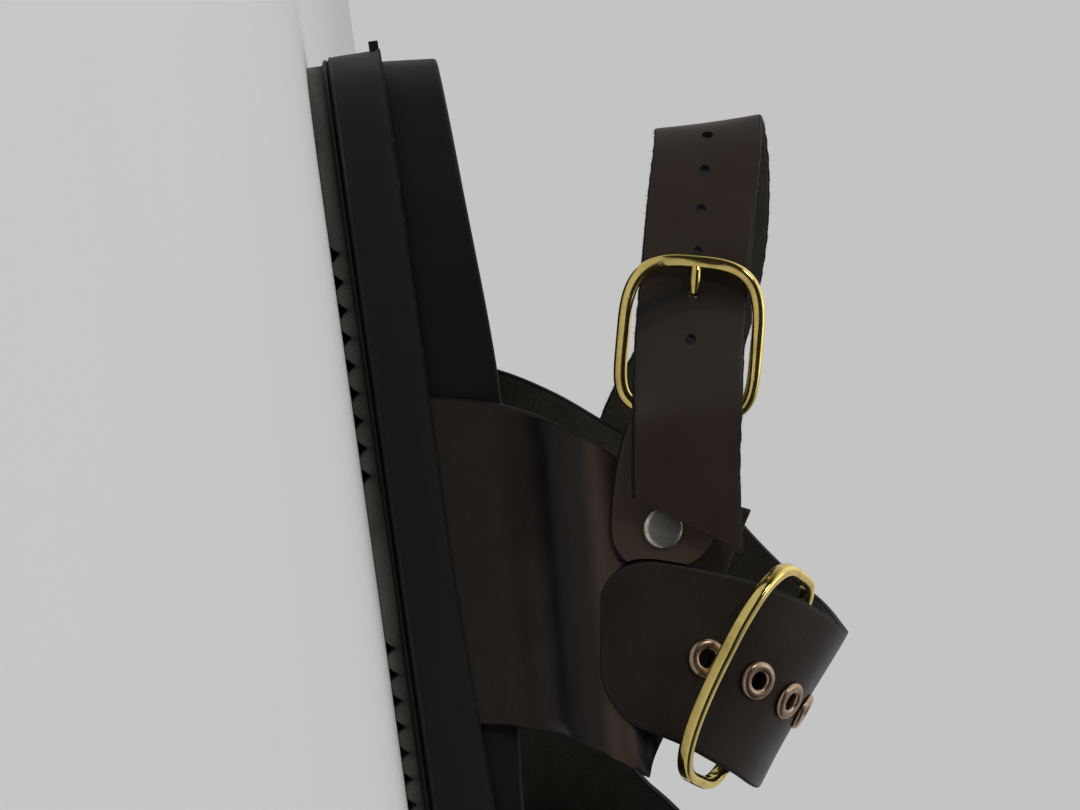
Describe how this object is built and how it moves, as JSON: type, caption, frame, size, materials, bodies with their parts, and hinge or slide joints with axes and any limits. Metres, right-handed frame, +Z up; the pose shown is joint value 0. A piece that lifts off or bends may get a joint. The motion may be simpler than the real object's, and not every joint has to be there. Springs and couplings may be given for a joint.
{
  "type": "sandal",
  "caption": "Leather sandal with a ribbed rubber sole, deep moulded footbed, buckled instep strap, front strap and buckled heel strap.",
  "frame": {"origin": "under the middle of the part's box, on the plane that the sole stands on", "axes": "+X towards the toe, -Y the outer side of the foot, +Z up"},
  "size_m": [0.28, 0.106, 0.1079],
  "materials": {
    "tread_rubber": "worn grey-brown moulded rubber",
    "band_rubber": "smooth black moulded rubber",
    "footbed_rubber": "smooth black moulded foam rubber",
    "brown_leather": "dark brown smooth-grain leather, suede inside",
    "gold_plate": "polished gold-coloured plating",
    "copper_eyelet": "satin copper-coloured plating",
    "rivet_steel": "satin steel"
  },
  "bodies": {
    "root": {"outsole": "tread_rubber", "midsole": "band_rubber", "footbed": "footbed_rubber", "upper": "brown_leather", "front_strap": "brown_leather", "heel_strap": "brown_leather", "heel_strap_tab": "brown_leather", "instep_buckle": "gold_plate", "heel_buckle": "gold_plate", "eyelet_1": "copper_eyelet", "eyelet_2": "copper_eyelet", "eyelet_3": "copper_eyelet", "eyelet_4": "copper_eyelet", "rivet_outer": "rivet_steel", "rivet_inner": "rivet_steel"}
  },
  "joints": []
}
